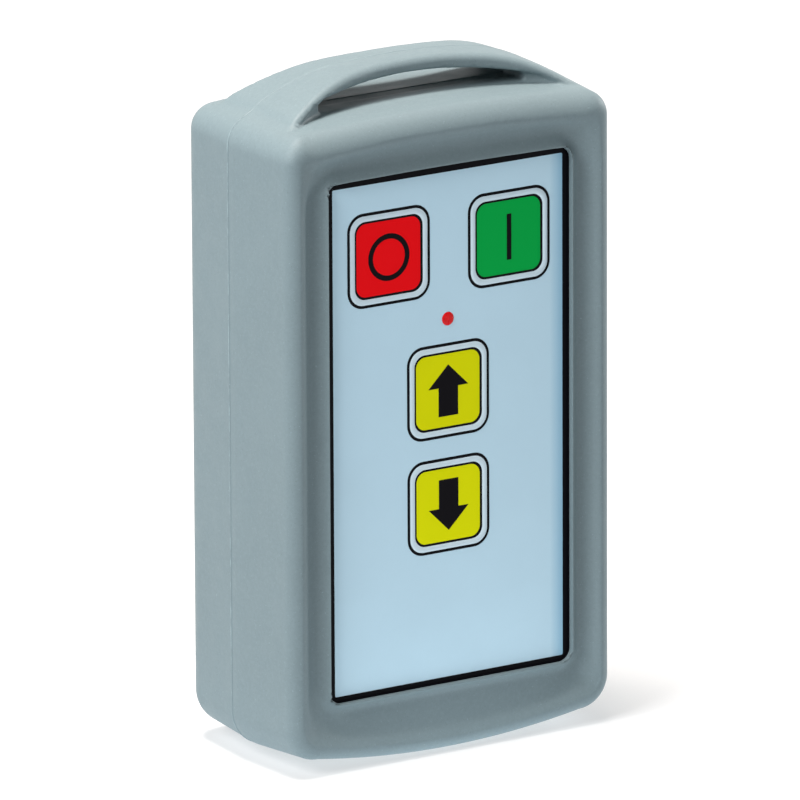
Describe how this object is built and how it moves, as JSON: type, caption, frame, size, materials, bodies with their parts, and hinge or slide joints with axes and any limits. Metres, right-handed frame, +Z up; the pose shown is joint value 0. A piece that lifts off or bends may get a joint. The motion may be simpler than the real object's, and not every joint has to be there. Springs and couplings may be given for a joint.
{
  "type": "hand-held radio remote control for a crane",
  "caption": "Upright hand-held radio transmitter with flat spring-back keys, in a moulded rubber boot whose arched carry strap spans a slot on top.",
  "frame": {"origin": "middle of the flat underside, on the plane that the part stands on", "axes": "+Z up along the height, keypad facing -Y, +X to the right of someone who stands behind the part"},
  "size_m": [0.0728, 0.0384, 0.1298],
  "materials": {
    "boot_rubber": "matte grey rubber with a fine moulded grain",
    "case_plastic": "black glass-filled plastic",
    "seal_rubber": "soft silicone cord",
    "keypad_film": "printed pale blue polyester film, lightly textured",
    "stop_film": "printed red film with an embossed rim",
    "start_film": "printed green film with an embossed rim",
    "direction_film": "printed yellow film with an embossed rim",
    "switch_plastic": "black moulded plastic",
    "lens_plastic": "clear red acrylic",
    "led_plastic": "tinted epoxy",
    "board_laminate": "green glass-fibre laminate",
    "chip_plastic": "moulded epoxy",
    "tinned_metal": "tinned sheet steel",
    "antenna_brass": "drawn brass rod",
    "capacitor_metal": "bare drawn aluminium",
    "battery_metal": "plain painted steel jacket",
    "snap_plastic": "soft black vinyl",
    "red_insulation": "red wire insulation",
    "black_insulation": "black wire insulation",
    "foam": "open-cell foam",
    "screw_steel": "zinc-plated steel"
  },
  "bodies": {
    "housing": {"rubber_boot": "boot_rubber", "front_case": "case_plastic", "rear_case": "case_plastic", "case_seal": "seal_rubber", "keypad_overlay": "keypad_film", "stop_switch": "switch_plastic", "start_switch": "switch_plastic", "up_switch": "switch_plastic", "down_switch": "switch_plastic", "status_lens": "lens_plastic", "status_led": "led_plastic", "main_board": "board_laminate", "controller_chip": "chip_plastic", "radio_module": "tinned_metal", "crystal": "tinned_metal", "antenna": "antenna_brass", "regulator": "chip_plastic", "capacitors": "capacitor_metal", "resistors": "chip_plastic", "battery": "battery_metal", "battery_snap": "snap_plastic", "lead_red": "red_insulation", "lead_black": "black_insulation", "battery_foam": "foam", "battery_door": "case_plastic", "door_seal": "seal_rubber", "door_screws": "screw_steel", "case_screws": "screw_steel", "board_screws": "screw_steel"},
    "stop_button": {"stop_key": "stop_film", "stop_plunger": "switch_plastic"},
    "start_button": {"start_key": "start_film", "start_plunger": "switch_plastic"},
    "up_button": {"up_key": "direction_film", "up_plunger": "switch_plastic"},
    "down_button": {"down_key": "direction_film", "down_plunger": "switch_plastic"}
  },
  "joints": [
    {"name": "stop_press", "type": "slide", "parent": "housing", "child": "stop_button", "axis": [0, 1, 0], "range_m": [0, 0.0005], "stiffness_N_per_m": 4000},
    {"name": "start_press", "type": "slide", "parent": "housing", "child": "start_button", "axis": [0, 1, 0], "range_m": [0, 0.0005], "stiffness_N_per_m": 4000},
    {"name": "up_press", "type": "slide", "parent": "housing", "child": "up_button", "axis": [0, 1, 0], "range_m": [0, 0.0005], "stiffness_N_per_m": 4000},
    {"name": "down_press", "type": "slide", "parent": "housing", "child": "down_button", "axis": [0, 1, 0], "range_m": [0, 0.0005], "stiffness_N_per_m": 4000}
  ]
}
